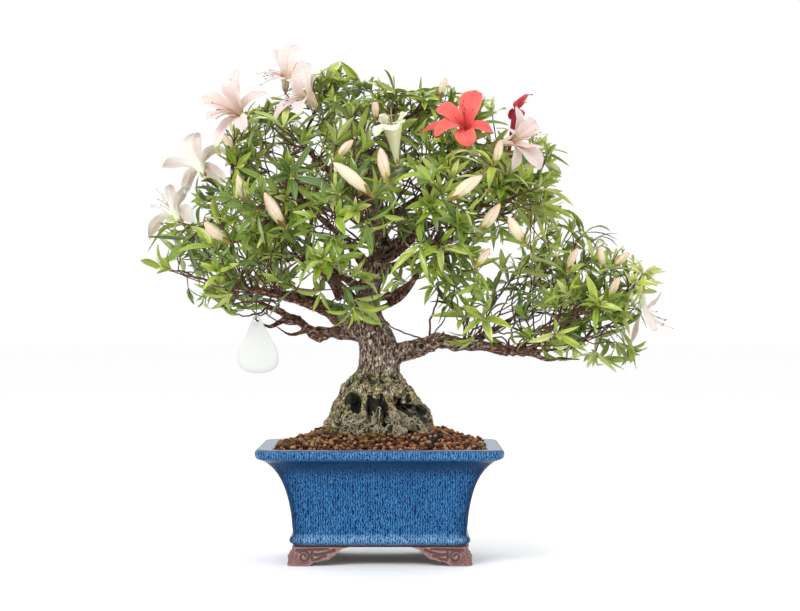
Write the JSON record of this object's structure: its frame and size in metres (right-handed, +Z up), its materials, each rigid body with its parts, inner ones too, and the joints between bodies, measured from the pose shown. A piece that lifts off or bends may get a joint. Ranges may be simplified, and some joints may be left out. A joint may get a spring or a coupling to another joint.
{
  "type": "satsuki azalea bonsai",
  "caption": "Satsuki azalea bonsai in flower with spreading surface roots, in a rectangular blue glazed pot with a broad rim and cloud feet.",
  "frame": {"origin": "on the surface that the pot stands on, under the middle of the whole bonsai's box in X and Y", "axes": "+Z up, X along the long side of the pot and the long low branch to the right, front of the pot towards -Y"},
  "size_m": [0.54, 0.3102, 0.5064],
  "materials": {
    "glaze": "glossy mid blue glaze with dark vertical streaks, paler at lip and base moulding",
    "clay": "unglazed mauve-brown stoneware, matte",
    "screen": "black plastic mesh",
    "akadama": "damp rust-brown granules, matte",
    "bark": "grey-brown flaky bark with some moss and algae",
    "leaf": "narrow leathery leaves, lime to deep green, slightly glossy",
    "petal_pale": "thin matte petals, near white with a blush",
    "petal_cream": "thin matte petals, cream",
    "petal_coral": "thin matte petals, coral red",
    "petal_crimson": "thin matte petals, deep red",
    "bud": "matte bud scales, peach and cream",
    "label": "plain translucent white plate",
    "wire": "dark brown coated wire"
  },
  "bodies": {
    "root": {"pot": "glaze", "foot_front_left": "clay", "foot_front_right": "clay", "foot_back_left": "clay", "foot_back_right": "clay", "drain_screen_left": "screen", "drain_screen_right": "screen", "soil": "akadama", "trunk_and_limbs": "bark", "label": "label", "label_wire": "wire", "bloom_pale_left": "petal_pale", "bloom_pale_top": "petal_pale", "bloom_pale_side": "petal_pale", "bloom_white_left": "petal_pale", "bloom_white_low": "petal_pale", "bloom_cream_trumpet": "petal_cream", "bloom_pale_right": "petal_pale", "bloom_coral": "petal_coral", "bloom_crimson": "petal_crimson", "bloom_pale_far_right": "petal_pale", "bud_01": "bud", "bud_02": "bud", "bud_03": "bud", "bud_04": "bud", "bud_05": "bud", "bud_06": "bud", "bud_07": "bud", "bud_08": "bud", "bud_09": "bud", "bud_10": "bud", "bud_11": "bud", "bud_12": "bud", "bud_13": "bud", "bud_14": "bud", "bud_15": "bud", "bud_16": "bud", "bud_17": "bud", "bud_18": "bud", "spray_far_left_low": "leaf", "spray_front_left_low": "leaf", "spray_back_left_low": "leaf", "spray_far_left": "leaf", "spray_front_left": "leaf", "spray_back_left": "leaf", "spray_top_left": "leaf", "spray_front_low": "leaf", "spray_front_mid": "leaf", "spray_top": "leaf", "spray_back_mid": "leaf", "spray_front_right": "leaf", "spray_top_right_front": "leaf", "spray_top_right": "leaf", "spray_right_high": "leaf", "spray_back_right": "leaf", "spray_lobe_left": "leaf", "spray_lobe_front": "leaf", "spray_lobe_back": "leaf", "spray_lobe_top": "leaf", "spray_lobe_tip": "leaf"}
  },
  "joints": []
}
